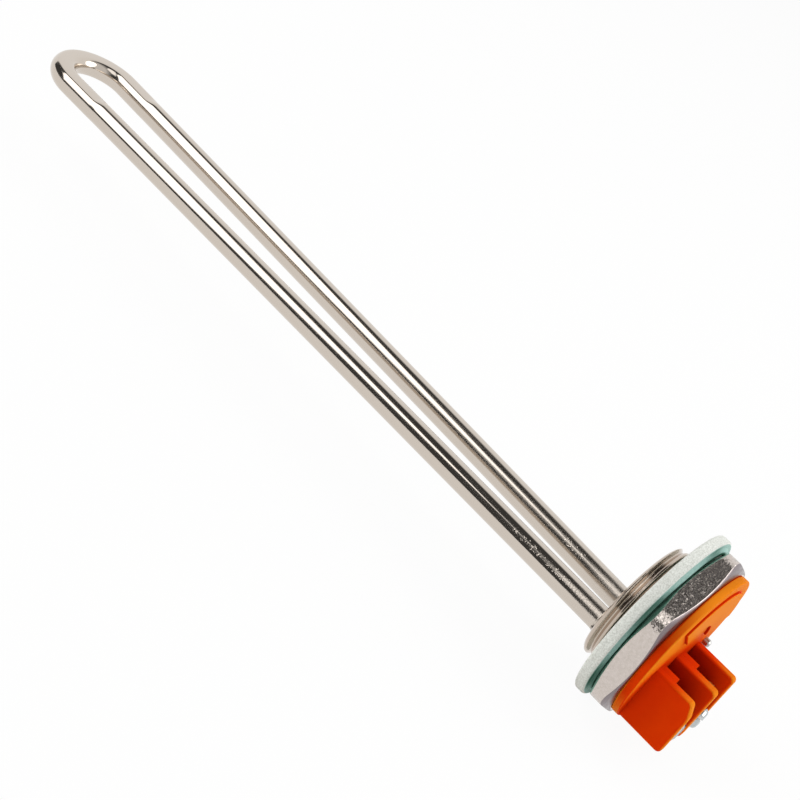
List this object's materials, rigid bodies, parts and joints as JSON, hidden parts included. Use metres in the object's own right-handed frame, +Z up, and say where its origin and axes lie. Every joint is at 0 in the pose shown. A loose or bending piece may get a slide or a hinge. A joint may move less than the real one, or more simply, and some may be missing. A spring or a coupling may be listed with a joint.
{
  "type": "screw plug immersion heater",
  "caption": "Threaded hexagon plug with a round gasket, a hairpin tubular heating element brazed into its boss and a moulded terminal block with screw terminals behind.",
  "frame": {"origin": "on the plug's axis at the gasket's sealing face, where the thread begins", "axes": "+X out of the tank along the plug's axis towards the terminals, +Z up, away from the side on which the element's legs stand"},
  "size_m": [0.2478, 0.0492, 0.0503],
  "materials": {
    "plated_steel": "nickel plate over a grained forging",
    "gasket_rubber": "pale matt rubber",
    "nickel_plate": "bright nickel plate",
    "magnesia": "pressed white powder",
    "heating_wire": "dull drawn wire",
    "pin_steel": "drawn steel",
    "seal_resin": "cast resin",
    "ceramic": "fired ceramic",
    "braze_metal": "speckled brazed joint under plate",
    "orange_plastic": "satin moulding",
    "strap_brass": "stamped brass",
    "zinc_steel": "zinc plate"
  },
  "bodies": {
    "heater": {"hex_plug": "plated_steel", "sealing_gasket": "gasket_rubber", "sheath_tube": "nickel_plate", "magnesia_fill": "magnesia", "resistance_coil": "heating_wire", "terminal_block": "orange_plastic", "block_pin": "zinc_steel", "cold_pin_left": "pin_steel", "end_seal_left": "seal_resin", "end_bush_left": "ceramic", "braze_left": "braze_metal", "strap_left": "strap_brass", "cold_pin_right": "pin_steel", "end_seal_right": "seal_resin", "end_bush_right": "ceramic", "braze_right": "braze_metal", "strap_right": "strap_brass"},
    "left_screw": {"terminal_screw_left": "zinc_steel"},
    "right_screw": {"terminal_screw_right": "zinc_steel"}
  },
  "joints": [
    {"name": "left_screw_travel", "type": "slide", "parent": "heater", "child": "left_screw", "axis": [1, 0, 0], "range_m": [0, 0.003]},
    {"name": "right_screw_travel", "type": "slide", "parent": "heater", "child": "right_screw", "axis": [1, 0, 0], "range_m": [-0.0009, 0.0021]}
  ]
}
